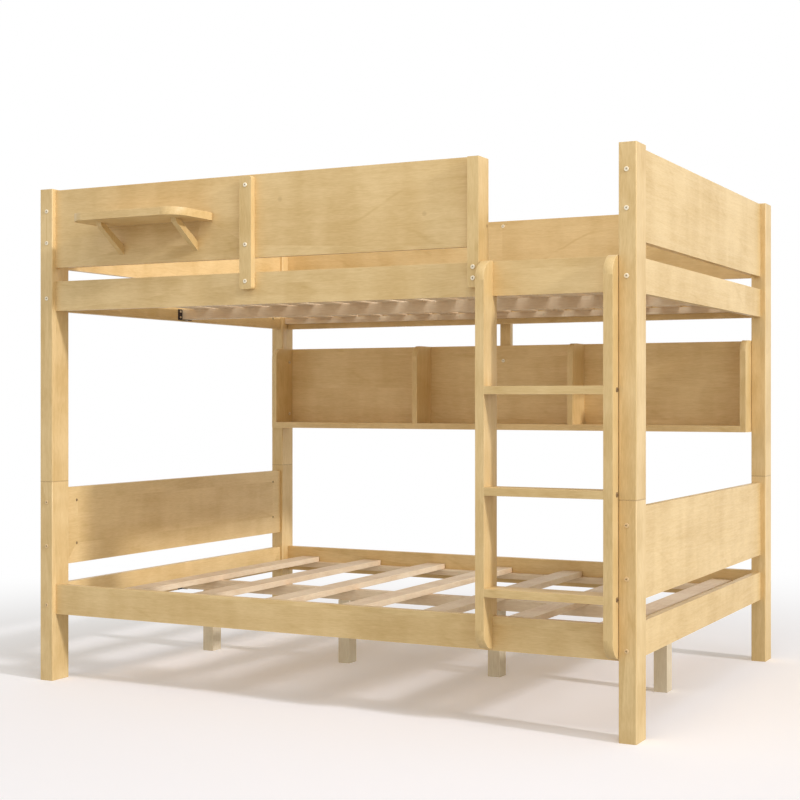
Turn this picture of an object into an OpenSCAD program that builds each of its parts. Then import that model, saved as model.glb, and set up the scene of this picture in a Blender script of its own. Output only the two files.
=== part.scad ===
// Bunk bed of pine boards: two slatted beds, guard boards, ladder, bookshelf and small outer shelf.
// X runs along the length, Y from the ladder side to the bookshelf side, Z up from the floor.

/* [Overall] */
// Length over the outer faces of the posts
bed_len = 2026; // [1900:1:2150]
// Width over the front and rear faces of the posts
bed_wid = 1500; // [1300:1:1600]
// Height of the posts
bed_h = 1600; // [1560:1:1700]

/* [Posts] */
// Post section along the length of the bed
post_len = 50; // [44:0.5:55]
// Post section across the bed
post_wid = 82.5; // [70:0.5:90]
// Height of the joint between lower and upper posts
post_split = 647.5; // [642:0.5:780]
// Rounding of the upright post edges
post_edge_r = 3; // [1:0.5:4]
// Diameter of the dowel that joins lower and upper posts
post_dowel_d = 12; // [8:0.5:16]
// Length of the dowel in each post half
post_dowel_half = 55; // [30:1:56]

/* [Boards] */
// Thickness of rails, panels, guards, strips and ledgers
board_t = 22; // [20:0.5:24]
// Distance from a post's outer face back to the board's outer face
board_recess = 17.5; // [14:0.5:18]
// Height of the side and end rails
rail_h = 96; // [92:1:104]
// Height of the end panels and guard boards
panel_h = 252; // [245:1:256]
// Underside of the lower rails
lower_rail_z = 216; // [210:1:224]
// Drop from the post tops to the underside of the upper rails
upper_rail_drop = 396; // [390:1:410]
// Drop from the post tops to the top of the upper panels
panel_top_gap = 3.5; // [2:0.5:6]
// Underside of the lower end panels
lower_panel_z = 372.5; // [366:0.5:376]

/* [Slatted beds] */
// Slat thickness
slat_t = 20; // [17:0.5:20]
// Width of a lower slat
lower_slat_w = 76; // [66:1:90]
// Distance from the end rail to the first lower slat
lower_slat_margin = 85.5; // [65:0.5:100]
// Sideways offset of the whole lower slat row
lower_slat_shift = 0.5; // [-12:0.5:12]
// Number of lower slats
lower_slat_count = 7; // [6:1:9]
// Width of an upper slat
upper_slat_w = 70; // [60:1:75]
// Distance from the end rail to the first upper slat
upper_slat_margin = 52.5; // [40:0.5:70]
// Number of upper slats
upper_slat_count = 17; // [14:1:18]
// Free length at each slat end
slat_end_gap = 4; // [3.5:0.5:8]
// Height of the lower ledger tops above the rail underside
lower_seat_up = 39.5; // [36:0.5:41]
// Height of the upper ledger tops above the rail underside
upper_seat_up = 43; // [40:0.5:44]
// Ledger height
ledger_h = 22; // [20:0.5:24]
// Centre beam width across the bed
beam_w = 34; // [30:0.5:40]
// Centre beam height
beam_h = 37; // [34:0.5:37]
// Centre leg size along the bed
leg_len = 43; // [28:1:46]
// Centre leg size across the bed
leg_wid = 52; // [44:1:80]
// Distance from the end boards to the middle of the outer centre legs
leg_inset = 122.25; // [70:0.25:200]

/* [Guards] */
// Width of the upright strips on the outside
strip_w = 42.5; // [36:0.5:50]
// Front strip centre, measured from the left post's inner face
front_strip_from_post = 748; // [700:1:780]
// Drop from the guard top to the front strip's top
strip_top_drop = 6; // [3:0.5:10]
// Length of the front strip
front_strip_len = 342; // [338:1:348]
// Length of the rear strip
rear_strip_len = 547; // [540:1:560]
// Rounding of the strip corners
strip_r = 7; // [4:0.5:10]
// Guard end upright, size along the bed
upright_len = 34.5; // [28:0.5:40]
// Guard end upright, size across the bed
upright_wid = 69; // [64:0.5:76]
// Drop from the guard top to the upright's top
upright_top_drop = 2; // [0:0.5:4]
// Bottom of the upright's front leg above the rail underside
upright_foot_up = 24; // [18:1:28]
// Length of the upright's rear leg below the rail top
upright_tail = 26; // [22:0.5:27]

/* [Ladder] */
// Width over the ladder stiles
ladder_w = 398; // [360:1:420]
// Stile thickness along the bed
stile_t = 26.5; // [24:0.5:32]
// Stile depth in front of the rails
stile_d = 62; // [58:0.5:68]
// Stile depth behind the rails' outer faces, between the two rails
stile_back = 28; // [24:0.5:34]
// Rounding of the stile's front corners
stile_r = 56; // [20:1:58]
// Gap between ladder and right post
ladder_gap = 0.5; // [0.5:0.5:4]
// Distance from the ladder to the guard end upright
upright_gap = 7.5; // [6:0.5:20]
// Height of the stile bottoms
stile_foot_z = 222; // [219:1:226]
// Drop from the upper rail's top to the stile tops, below zero for tops above the rail
stile_top_drop = -1.5; // [-3:0.5:8]
// Underside of the bottom rung
rung_z = 371.5; // [350:0.5:380]
// Rung spacing
rung_pitch = 279; // [265:0.5:285]
// Rung thickness
rung_t = 22.5; // [20:0.5:26]
// Rung depth
rung_d = 78; // [60:0.5:82]

/* [Bookshelf] */
// Drop from the upper rails' underside to the bookshelf's top
shelf_drop = 82.5; // [60:0.5:110]
// Height of the bookshelf
shelf_h = 320; // [300:1:330]
// Thickness of the bookshelf's back, ends and dividers
shelf_t = 20; // [18:0.5:22]
// Thickness of its bottom board
shelf_floor_t = 22.5; // [20:0.5:26]
// Depth from the back panel's rear face to the bookshelf front
shelf_depth = 144; // [135:0.5:170]
// Rounding of the upper front corners
shelf_r = 40; // [20:1:60]

/* [Small outer shelf] */
// Distance from the left post to the small shelf
small_from_post = 203.5; // [180:0.5:230]
// Length of the small shelf
small_len = 413; // [380:1:440]
// Depth of the small shelf
small_depth = 192.5; // [160:0.5:200]
// Thickness of the small shelf
small_t = 23.5; // [18:0.5:28]
// Rounding of its front corners
small_r = 60; // [30:1:75]
// Drop from the guard top to its underside
small_drop = 131; // [115:1:150]
// Thickness of the braces
brace_t = 18; // [14:0.5:24]
// Distance of the braces from the shelf ends
brace_inset = 56; // [45:1:70]
// Drop of the brace foot below the shelf
brace_drop = 90; // [84:1:100]
// Reach of the brace along the shelf's underside
brace_reach = 118; // [110:1:130]

/* [Hardware] */
// Shank diameter of bolts
bolt_d = 6; // [5:0.5:6]
// Diameter of bolt heads
head_d = 13.5; // [12:0.5:14]
// Height of bolt heads
head_h = 2.5; // [2:0.5:3]
// Diameter of the cross nuts
nut_d = 10; // [9:0.5:11]
// Distance of the cross nuts from the post
nut_in = 54; // [40:1:60]
// Diameter of hidden wooden dowels
dowel_d = 8; // [6:0.5:9]
// Half length of hidden wooden dowels
dowel_half = 17; // [12:0.5:18]
// Width of the beam hangers' flanges
hanger_flange = 25; // [20:0.5:30]
// Height of the hook plates at the rail ends
plate_h = 76; // [74:1:84]

/* [Hidden] */
half_len = bed_len / 2;
half_wid = bed_wid / 2;
inner_x = half_len - post_len;
inner_y = half_wid - post_wid;
board_out_x = half_len - board_recess;
board_in_x = board_out_x - board_t;
board_out_y = half_wid - board_recess;
board_in_y = board_out_y - board_t;
board_mid_y = board_out_y - board_t / 2;
upper_rail_z = bed_h - upper_rail_drop;
upper_panel_z = bed_h - panel_top_gap - panel_h;
lower_seat_z = lower_rail_z + lower_seat_up;
upper_seat_z = upper_rail_z + upper_seat_up;
slat_len = 2 * (board_in_y - slat_end_gap);

// Clearances around round pieces
bolt_play = 0.5;
thread_play = 0.15;
nut_play = 0.15;
dowel_play = 0.1;
nut_len = 16;
nut_hole = 18;
bolt_in = board_recess + 10;
head_chamfer = 0.8;
socket_d = 5;
socket_deep = 2;
seat_depth = 1.6;

// Bolt heights above the undersides of their boards
lower_rail_bolt = 30;
upper_rail_bolt = 40;
lower_panel_bolts = [65, panel_h - 44];
upper_panel_bolts = [80, panel_h - 69];
lower_bolt_z = [lower_rail_z + lower_rail_bolt, lower_panel_z + lower_panel_bolts[0],
    lower_panel_z + lower_panel_bolts[1]];
upper_bolt_z = [upper_rail_z + upper_rail_bolt, upper_panel_z + upper_panel_bolts[0],
    upper_panel_z + upper_panel_bolts[1]];
post_bolt_len = post_wid + nut_in + nut_d / 2 + 3;

// Guard dowels above and below the post bolts
guard_dowel_up = [36, panel_h - 32];

// Rail hooks
plate_w = 15;
plate_t = 3;
hook_t = 3;
hook_play = 0.3;
hook_rise = 7;
hook_drop = 5;
hook_step = 14;
hook_lip = 4;
hook_reach = plate_t + hook_play + hook_lip;
pocket_deep = hook_reach + 2;
pocket_w = hook_t + 4;
pocket_low = hook_step + hook_rise + hook_drop + 1;
pocket_high = hook_step + hook_rise + hook_drop + 2;
plate_screw_up = plate_h / 2 - 5;
plate_screw_len = 15;
plate_screw_sink = 0.3;

// Strips and the connectors through them
strip_x = -inner_x + front_strip_from_post;
strip_top = upper_panel_z + panel_h - strip_top_drop;
front_strip_bolts = [27, 207, 318];
rear_strip_bolts = [13, 226, 318, 527];
strip_stack = 2 * board_t;
sleeve_d = 8.5;
sleeve_len = 18;
connector_len = strip_stack - 12;

// Ladder and guard upright
ladder_right = inner_x - ladder_gap;
ladder_left = ladder_right - ladder_w;
upright_x1 = ladder_left - upright_gap;
upright_x0 = upright_x1 - upright_len;
upright_top = upper_panel_z + panel_h - upright_top_drop;
upright_back_y = -board_out_y - board_t + upright_wid;
upright_bolt_x = (upright_x0 + upright_x1) / 2;
upright_bolt_high = upper_rail_z + rail_h - 14.5;
upright_bolt_low = upper_seat_z + head_d / 2 + 0.5;
upright_bolt_len = upright_wid - 12;
stile_top = upper_rail_z + rail_h - stile_top_drop;
stile_front_y = -board_out_y - stile_d;
rung_bolt_in = 33;
rung_bolt_y = stile_front_y + rung_bolt_in;
rung_bolt_deep = 42;
rung_len = ladder_w - 2 * stile_t;
ladder_bolt_lower = 72;
ladder_bolt_upper = 71;
ladder_bolt_deep = 38;

// Slat rows
bed_in_x = board_in_x;
leg_pitch = (bed_in_x - leg_inset) / 1.5;
lower_pitch = (2 * bed_in_x - 2 * lower_slat_margin - lower_slat_w) / (lower_slat_count - 1);
upper_pitch = (2 * bed_in_x - 2 * upper_slat_margin - upper_slat_w) / (upper_slat_count - 1);

// Beam hangers
hanger_t = 2;
hanger_len = 15;
screw_r = 2;
screw_play = 0.15;
screw_head_r = 4.2;
screw_head_h = 2.2;
pilot_d = 2 * (screw_r + screw_play);
hanger_screw_up = [8, beam_h - 8];
hanger_screw_y = (beam_w + hanger_flange) / 2;
hanger_screw_deep = 14;
seat_screw_x = board_in_x - hanger_len / 2 - 2;

// Ledger screws
ledger_screws = 6;
ledger_screw_len = board_t + 16;

// Bookshelf
shelf_z = upper_rail_z - shelf_drop - shelf_h;
shelf_floor_z = shelf_z + shelf_floor_t;
shelf_dado = 3;
shelf_back_y = board_out_y;
shelf_front_y = shelf_back_y - shelf_depth;
shelf_mid_y = shelf_back_y - shelf_t;
shelf_clear = 2 * (inner_x - shelf_t);
divider_x = (shelf_clear - 2 * shelf_t) / 6 + shelf_t / 2;
shelf_bolt_y = (inner_y + shelf_mid_y) / 2;
shelf_bolt_up = [56, 266];
shelf_bolt_deep = 26;
shelf_screw_up = [40, 160, 280];
shelf_screw_len = shelf_t + 24;
shelf_dowel_y = [shelf_front_y + 30, shelf_mid_y - 30];
shelf_dowel_out = 12;

// Small outer shelf
small_x0 = -inner_x + small_from_post;
small_z = upper_panel_z + panel_h - small_drop;
small_y = -board_out_y;
brace_nose = 12;
brace_nose_slant = 5;
brace_band = 28;
brace_top_band = 20;
brace_x = [small_x0 + brace_inset, small_x0 + small_len - brace_inset - brace_t];
small_screw_len = board_t + 20;
brace_screw_drop = brace_drop - 20;
brace_dowel_y = small_y - brace_reach + 13;
brace_dowel_half = 10;
small_screws_x = [small_x0 + 40, small_x0 + small_len / 2, small_x0 + small_len - 40];

// The bed is centred on its own bounding box
front_reach = -board_out_y - max(small_depth, stile_d);
rear_reach = max(half_wid + head_h, board_out_y + board_t + head_h);
centre_y = (front_reach + rear_reach) / 2;

// Frames and profiles

module bed() {
    translate([0, -centre_y, 0])
        children();
}

// Mirrors a piece made for the right rear corner to the corner of the given signs
module corner(side, end) {
    mirror([side < 0 ? 1 : 0, 0, 0])
        mirror([0, end < 0 ? 1 : 0, 0])
            children();
}

// Lays a profile drawn in Y and Z along X
module along_x(x0, length) {
    translate([x0, 0, 0])
        rotate([90, 0, 90])
            linear_extrude(height = length)
                children();
}

// Lays a profile drawn in X and Z along Y
module along_y(y0, length) {
    translate([0, y0 + length, 0])
        rotate([90, 0, 0])
            linear_extrude(height = length)
                children();
}

module rounded_rect(x0, y0, w, h, r) {
    translate([x0 + r, y0])
        square([w - 2 * r, h]);
    translate([x0, y0 + r])
        square([w, h - 2 * r]);
    for (x = [x0 + r, x0 + w - r])
        for (y = [y0 + r, y0 + h - r])
            translate([x, y])
                circle(r = r, $fn = 32);
}

// Rectangle with two rounded corners on its low X side
module rounded_low_x(x0, y0, w, h, r) {
    translate([x0 + r, y0])
        square([w - r, h]);
    translate([x0, y0 + r])
        square([w, h - 2 * r]);
    intersection() {
        translate([x0, y0])
            square([w, h]);
        for (y = [y0 + r, y0 + h - r])
            translate([x0 + r, y])
                circle(r = r, $fn = 48);
    }
}

// Round hole or pin through two points on a line parallel to an axis
module rod_x(x0, x1, y, z, d) {
    translate([x0, y, z])
        rotate([0, 90, 0])
            cylinder(d = d, h = x1 - x0, $fn = 24);
}

module rod_y(x, y0, y1, z, d) {
    translate([x, y0, z])
        rotate([-90, 0, 0])
            cylinder(d = d, h = y1 - y0, $fn = 24);
}

module rod_z(x, y, z0, z1, d) {
    translate([x, y, z0])
        cylinder(d = d, h = z1 - z0, $fn = 24);
}

module block(x0, x1, y0, y1, z0, z1) {
    translate([x0, y0, z0])
        cube([x1 - x0, y1 - y0, z1 - z0]);
}

// Fasteners, drawn with the seat of the head at Z = 0 and the shank along +Z

module bolt(length) {
    difference() {
        union() {
            translate([0, 0, -head_h + head_chamfer])
                cylinder(d = head_d, h = head_h - head_chamfer, $fn = 32);
            translate([0, 0, -head_h])
                cylinder(d1 = head_d - 2 * head_chamfer, d2 = head_d, h = head_chamfer, $fn = 32);
            cylinder(d = bolt_d, h = length, $fn = 24);
        }
        translate([0, 0, -head_h - 1])
            cylinder(d = socket_d, h = socket_deep + 1, $fn = 6);
    }
}

module sleeve_nut() {
    difference() {
        union() {
            translate([0, 0, -head_h + head_chamfer])
                cylinder(d = head_d, h = head_h - head_chamfer, $fn = 32);
            translate([0, 0, -head_h])
                cylinder(d1 = head_d - 2 * head_chamfer, d2 = head_d, h = head_chamfer, $fn = 32);
            cylinder(d = sleeve_d, h = sleeve_len, $fn = 24);
        }
        translate([0, 0, seat_depth])
            cylinder(d = bolt_d + 2 * thread_play, h = sleeve_len, $fn = 24);
        translate([0, 0, -head_h - 1])
            cylinder(d = socket_d, h = socket_deep + 1, $fn = 6);
    }
}

// Flat head flush with the face it is driven into
module screw(length) {
    cylinder(r = screw_head_r, h = screw_head_h, $fn = 24);
    translate([0, 0, screw_head_h])
        cylinder(r = screw_r, h = length - screw_head_h, $fn = 16);
}

module screw_hole(length) {
    translate([0, 0, -1])
        cylinder(r = screw_head_r + screw_play, h = screw_head_h + 1, $fn = 24);
    cylinder(r = screw_r + screw_play, h = length + 1, $fn = 16);
}

module toward_plus_y(x, y, z) {
    translate([x, y, z])
        rotate([-90, 0, 0])
            children();
}

module toward_minus_y(x, y, z) {
    translate([x, y, z])
        rotate([90, 0, 0])
            children();
}

module toward_plus_x(x, y, z) {
    translate([x, y, z])
        rotate([0, 90, 0])
            children();
}

module toward_minus_x(x, y, z) {
    translate([x, y, z])
        rotate([0, -90, 0])
            children();
}

// Posts, drawn for the right rear corner

module post_bar(z0, z1) {
    translate([0, 0, z0])
        linear_extrude(height = z1 - z0)
            rounded_rect(inner_x, inner_y, post_len, post_wid, post_edge_r);
}

module post_bolt_holes(heights) {
    for (z = heights)
        rod_y(half_len - bolt_in, inner_y - 1, half_wid + 1, z, bolt_d + 2 * bolt_play);
}

module slot_plate_recess(z) {
    block(inner_x - 1, inner_x + plate_t, board_mid_y - plate_w / 2, board_mid_y + plate_w / 2,
        z - plate_h / 2, z + plate_h / 2);
    block(inner_x, inner_x + pocket_deep, board_mid_y - pocket_w / 2, board_mid_y + pocket_w / 2,
        z - pocket_low, z + pocket_high);
    for (s = [-1, 1])
        rod_x(inner_x, inner_x + plate_screw_len + 1, board_mid_y, z + s * plate_screw_up, pilot_d);
}

module post_dowel_hole(z0, z1) {
    rod_z(inner_x + post_len / 2, inner_y + post_wid / 2, z0, z1, post_dowel_d + 2 * dowel_play);
}

module lower_post(side, end) {
    bed()
        corner(side, end)
            difference() {
                post_bar(0, post_split);
                post_bolt_holes(lower_bolt_z);
                slot_plate_recess(lower_rail_z + rail_h / 2);
                post_dowel_hole(post_split - post_dowel_half - 1, post_split + 1);
            }
}

module upper_post(side, end) {
    bed()
        corner(side, end)
            difference() {
                post_bar(post_split, bed_h);
                post_bolt_holes(upper_bolt_z);
                slot_plate_recess(upper_rail_z + rail_h / 2);
                post_dowel_hole(post_split - 1, post_split + post_dowel_half + 1);
                if (!(side > 0 && end < 0))
                    for (up = guard_dowel_up)
                        rod_x(inner_x - 1, inner_x + dowel_half + 1, board_mid_y, upper_panel_z + up,
                            dowel_d + 2 * dowel_play);
                if (end > 0)
                    for (up = shelf_bolt_up)
                        rod_x(inner_x - 1, inner_x + shelf_bolt_deep + 1, shelf_bolt_y, shelf_z + up,
                            bolt_d + 2 * thread_play);
            }
}

// End boards, drawn for the right end

// The seat is the height of the beam's top on a board that carries a beam hanger
module end_board(side, z0, height, bolts, seat = 0) {
    bed()
        corner(side, 1)
            difference() {
                block(board_in_x, board_out_x, -inner_y, inner_y, z0, z0 + height);
                for (up = bolts)
                    for (e = [-1, 1])
                        mirror([0, e < 0 ? 1 : 0, 0]) {
                            rod_y(half_len - bolt_in, half_wid - post_bolt_len - 2, inner_y + 1, z0 + up,
                                bolt_d + 2 * bolt_play);
                            rod_x(board_in_x - 1, board_in_x + nut_hole, inner_y - nut_in, z0 + up,
                                nut_d + 2 * nut_play);
                        }
                if (seat > 0)
                    hanger_pilots(seat);
            }
}

module hanger_pilots(seat) {
    for (s = [-1, 1])
        for (up = hanger_screw_up)
            rod_x(board_in_x - 1, board_in_x + hanger_screw_deep + 1, s * hanger_screw_y,
                seat - beam_h + up, pilot_d);
}

// Side rails, ledgers and their screws, drawn for the rear side

module rail_end_recesses(z) {
    for (s = [-1, 1])
        mirror([s < 0 ? 1 : 0, 0, 0]) {
            block(inner_x - plate_t, inner_x + 1, board_mid_y - plate_w / 2, board_mid_y + plate_w / 2,
                z - plate_h / 2, z + plate_h / 2);
            for (v = [-1, 1])
                rod_x(inner_x - plate_screw_len - 1, inner_x, board_mid_y, z + v * plate_screw_up, pilot_d);
        }
}

function ledger_screw_x(i) = -inner_x + 90 + i * (2 * inner_x - 180) / (ledger_screws - 1);

module ledger_holes(seat) {
    for (i = [0 : ledger_screws - 1])
        toward_plus_y(ledger_screw_x(i), board_in_y - board_t, seat - ledger_h / 2)
            screw_hole(ledger_screw_len);
}

module side_rail_body(z0, seat) {
    difference() {
        block(-inner_x, inner_x, board_in_y, board_out_y, z0, z0 + rail_h);
        rail_end_recesses(z0 + rail_h / 2);
        ledger_holes(seat);
    }
}

module ledger(end, seat) {
    bed()
        corner(1, end)
            difference() {
                block(-inner_x, inner_x, board_in_y - board_t, board_in_y, seat - ledger_h, seat);
                ledger_holes(seat);
            }
}

module connector_hole(x, y0, z) {
    rod_y(x, y0 - 1, y0 + board_t + 1, z, bolt_d + 2 * bolt_play);
}

// Wide hole in the board that takes a sleeve nut
module sleeve_hole(x, y0, y1, z) {
    rod_y(x, y0 - 1, y1 + 1, z, sleeve_d + 2 * nut_play);
}

module ladder_rail_holes(z0, up) {
    for (x = [ladder_left + stile_t / 2, ladder_right - stile_t / 2])
        rod_y(x, -board_out_y - 1, -board_in_y + 1, z0 + up, bolt_d + 2 * bolt_play);
}

module front_lower_rail() {
    color("BurlyWood")
        bed()
            difference() {
                corner(1, -1)
                    side_rail_body(lower_rail_z, lower_seat_z);
                ladder_rail_holes(lower_rail_z, ladder_bolt_lower);
            }
}

module rear_lower_rail() {
    color("BurlyWood")
        bed()
            side_rail_body(lower_rail_z, lower_seat_z);
}

module front_upper_rail() {
    color("BurlyWood")
        bed()
            difference() {
                corner(1, -1)
                    side_rail_body(upper_rail_z, upper_seat_z);
                ladder_rail_holes(upper_rail_z, ladder_bolt_upper);
                sleeve_hole(strip_x, -board_out_y, -board_in_y, strip_top - front_strip_bolts[2]);
                sleeve_hole(upright_bolt_x, -board_out_y, -board_in_y, upright_bolt_low);
                rod_y(upright_bolt_x, -board_out_y - 1, -board_in_y + 1, upright_bolt_high,
                    bolt_d + 2 * bolt_play);
            }
}

module rear_upper_rail() {
    color("BurlyWood")
        bed()
            difference() {
                side_rail_body(upper_rail_z, upper_seat_z);
                sleeve_hole(0, board_in_y, board_out_y, strip_top - rear_strip_bolts[2]);
            }
}

// Slats, beams, legs

module slat_row(count, pitch, first, w, seat) {
    for (i = [0 : count - 1])
        block(first + i * pitch, first + i * pitch + w, -slat_len / 2, slat_len / 2, seat, seat + slat_t);
}

module lower_slats() {
    color("Bisque")
        bed()
            slat_row(lower_slat_count, lower_pitch, -bed_in_x + lower_slat_margin + lower_slat_shift,
                lower_slat_w, lower_seat_z);
}

module upper_slats() {
    color("Bisque")
        bed()
            slat_row(upper_slat_count, upper_pitch, -bed_in_x + upper_slat_margin, upper_slat_w,
                upper_seat_z);
}

function leg_x(i) = (i - 1.5) * leg_pitch;

// Beam between the back plates of its two hangers
module centre_beam(seat) {
    difference() {
        block(-bed_in_x + hanger_t, bed_in_x - hanger_t, -beam_w / 2, beam_w / 2, seat - beam_h, seat);
        for (s = [-1, 1])
            rod_z(s * seat_screw_x, 0, seat - beam_h - 1, seat - beam_h + hanger_screw_deep + 1, pilot_d);
    }
}

module lower_centre_beam() {
    color("BurlyWood")
        bed()
            difference() {
                centre_beam(lower_seat_z);
                for (i = [0 : 3])
                    rod_z(leg_x(i), 0, lower_seat_z - beam_h - 1, lower_seat_z - beam_h + dowel_half + 1,
                        dowel_d + 2 * dowel_play);
            }
}

module upper_centre_beam() {
    color("BurlyWood")
        bed()
            centre_beam(upper_seat_z);
}

module centre_legs() {
    color("BurlyWood")
        bed()
            for (i = [0 : 3])
                difference() {
                    block(leg_x(i) - leg_len / 2, leg_x(i) + leg_len / 2, -leg_wid / 2, leg_wid / 2,
                        0, lower_seat_z - beam_h);
                    rod_z(leg_x(i), 0, lower_seat_z - beam_h - dowel_half - 1, lower_seat_z - beam_h + 1,
                        dowel_d + 2 * dowel_play);
                }
}

// Guards, strips and the guard end upright

module guard_end_dowel_holes(x0, x1) {
    for (up = guard_dowel_up)
        rod_x(x0, x1, board_mid_y, upper_panel_z + up, dowel_d + 2 * dowel_play);
}

module front_guard_board() {
    color("BurlyWood")
        bed()
            difference() {
                corner(1, -1)
                    difference() {
                        block(-inner_x, upright_x0, board_in_y, board_out_y, upper_panel_z,
                            upper_panel_z + panel_h);
                        guard_end_dowel_holes(-inner_x - 1, -inner_x + dowel_half + 1);
                        guard_end_dowel_holes(upright_x0 - dowel_half - 1, upright_x0 + 1);
                    }
                for (i = [0, 1])
                    sleeve_hole(strip_x, -board_out_y, -board_in_y, strip_top - front_strip_bolts[i]);
                small_shelf_screw_holes();
            }
}

module rear_guard_board() {
    color("BurlyWood")
        bed()
            difference() {
                block(-inner_x, inner_x, board_in_y, board_out_y, upper_panel_z, upper_panel_z + panel_h);
                guard_end_dowel_holes(-inner_x - 1, -inner_x + dowel_half + 1);
                guard_end_dowel_holes(inner_x - dowel_half - 1, inner_x + 1);
                for (i = [0, 1])
                    sleeve_hole(0, board_in_y, board_out_y, strip_top - rear_strip_bolts[i]);
            }
}

module front_guard_strip() {
    color("Wheat")
        bed()
            difference() {
                along_y(-board_out_y - board_t, board_t)
                    rounded_rect(strip_x - strip_w / 2, strip_top - front_strip_len, strip_w, front_strip_len,
                        strip_r);
                for (down = front_strip_bolts)
                    connector_hole(strip_x, -board_out_y - board_t, strip_top - down);
            }
}

module rear_centre_strip() {
    color("Wheat")
        bed()
            difference() {
                along_y(board_out_y, board_t)
                    rounded_rect(-strip_w / 2, strip_top - rear_strip_len, strip_w, rear_strip_len, strip_r);
                for (down = rear_strip_bolts)
                    connector_hole(0, board_out_y, strip_top - down);
            }
}

module guard_end_upright() {
    color("Wheat")
        bed()
            difference() {
                block(upright_x0, upright_x1, -board_out_y - board_t, upright_back_y,
                    upper_rail_z + upright_foot_up, upright_top);
                block(upright_x0 - 1, upright_x1 + 1, -board_out_y, -board_in_y,
                    upper_rail_z, upper_rail_z + rail_h);
                block(upright_x0 - 1, upright_x1 + 1, -board_out_y, 0, upper_rail_z,
                    upper_rail_z + rail_h - upright_tail);
                for (z = [upright_bolt_high, upright_bolt_low])
                    connector_hole(upright_bolt_x, -board_out_y - board_t, z);
                sleeve_hole(upright_bolt_x, -board_in_y, upright_back_y, upright_bolt_high);
                for (up = guard_dowel_up)
                    rod_x(upright_x0 - 1, upright_x0 + dowel_half + 1, -board_mid_y, upper_panel_z + up,
                        dowel_d + 2 * dowel_play);
            }
}

// Small outer shelf

module small_shelf_screw_holes() {
    for (x = small_screws_x)
        toward_minus_y(x, -board_in_y, small_z + small_t / 2)
            screw_hole(small_screw_len);
    for (x = brace_x)
        toward_minus_y(x + brace_t / 2, -board_in_y, small_z - brace_screw_drop)
            screw_hole(small_screw_len);
}

module brace_dowel_hole(x) {
    rod_z(x + brace_t / 2, brace_dowel_y, small_z - brace_dowel_half - 1, small_z + brace_dowel_half + 1,
        dowel_d + 2 * dowel_play);
}

module small_shelf_board() {
    color("BurlyWood")
        bed()
            difference() {
                translate([0, 0, small_z])
                    linear_extrude(height = small_t) {
                        translate([small_x0 + small_r, small_y - small_depth])
                            square([small_len - 2 * small_r, small_depth]);
                        translate([small_x0, small_y - small_depth + small_r])
                            square([small_len, small_depth - small_r]);
                        for (x = [small_x0 + small_r, small_x0 + small_len - small_r])
                            translate([x, small_y - small_depth + small_r])
                                circle(r = small_r, $fn = 64);
                    }
                small_shelf_screw_holes();
                for (x = brace_x)
                    brace_dowel_hole(x);
            }
}

// Slanting brace between the guard board and the shelf's underside
module brace(x) {
    color("Wheat")
        bed()
            difference() {
                along_x(x, brace_t)
                    polygon([
                        [small_y, small_z - brace_drop + brace_band],
                        [small_y, small_z - brace_drop],
                        [small_y - brace_reach + brace_nose_slant, small_z - brace_nose],
                        [small_y - brace_reach, small_z],
                        [small_y - brace_reach + brace_top_band, small_z]
                    ]);
                small_shelf_screw_holes();
                brace_dowel_hole(x);
            }
}

module small_shelf_left_brace() {
    brace(brace_x[0]);
}

module small_shelf_right_brace() {
    brace(brace_x[1]);
}

// Ladder

function rung_bolt_z(i) = rung_z + rung_t / 2 + i * rung_pitch;

// Stile in front of both rails, with a deeper part that fits between them
module stile(x0) {
    color("BurlyWood")
        bed()
            difference() {
                along_x(x0, stile_t) {
                    rounded_low_x(stile_front_y, stile_foot_z, stile_d, stile_top - stile_foot_z, stile_r);
                    translate([-board_out_y - 1, lower_rail_z + rail_h])
                        square([stile_back + 1, upper_rail_z - lower_rail_z - rail_h]);
                }
                for (i = [0 : 2])
                    rod_x(x0 - 1, x0 + stile_t + 1, rung_bolt_y, rung_bolt_z(i), bolt_d + 2 * bolt_play);
                for (z = [lower_rail_z + ladder_bolt_lower, upper_rail_z + ladder_bolt_upper])
                    rod_y(x0 + stile_t / 2, -board_out_y - ladder_bolt_deep - 1, -board_out_y + 1, z,
                        bolt_d + 2 * thread_play);
            }
}

module ladder_left_stile() {
    stile(ladder_left);
}

module ladder_right_stile() {
    stile(ladder_right - stile_t);
}

module rung(i) {
    color("Wheat")
        bed()
            difference() {
                block(ladder_left + stile_t, ladder_right - stile_t, stile_front_y, stile_front_y + rung_d,
                    rung_z + i * rung_pitch, rung_z + i * rung_pitch + rung_t);
                rod_x(ladder_left + stile_t - 1, ladder_left + stile_t + rung_bolt_deep + 1, rung_bolt_y,
                    rung_bolt_z(i), bolt_d + 2 * thread_play);
                rod_x(ladder_right - stile_t - rung_bolt_deep - 1, ladder_right - stile_t + 1, rung_bolt_y,
                    rung_bolt_z(i), bolt_d + 2 * thread_play);
            }
}

module ladder_bottom_rung() {
    rung(0);
}

module ladder_middle_rung() {
    rung(1);
}

module ladder_top_rung() {
    rung(2);
}

// Bookshelf

module shelf_side_profile(z0) {
    translate([shelf_front_y, z0])
        square([shelf_mid_y - shelf_front_y, shelf_z + shelf_h - shelf_r - z0]);
    translate([shelf_front_y + shelf_r, z0])
        square([shelf_mid_y - shelf_front_y - shelf_r, shelf_z + shelf_h - z0]);
    translate([shelf_front_y + shelf_r, shelf_z + shelf_h - shelf_r])
        circle(r = shelf_r, $fn = 48);
}

module shelf_screw_holes() {
    for (x = [-inner_x + shelf_t / 2, -divider_x, divider_x, inner_x - shelf_t / 2])
        for (up = shelf_screw_up)
            toward_minus_y(x, shelf_back_y, shelf_z + up)
                screw_hole(shelf_screw_len);
}

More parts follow.
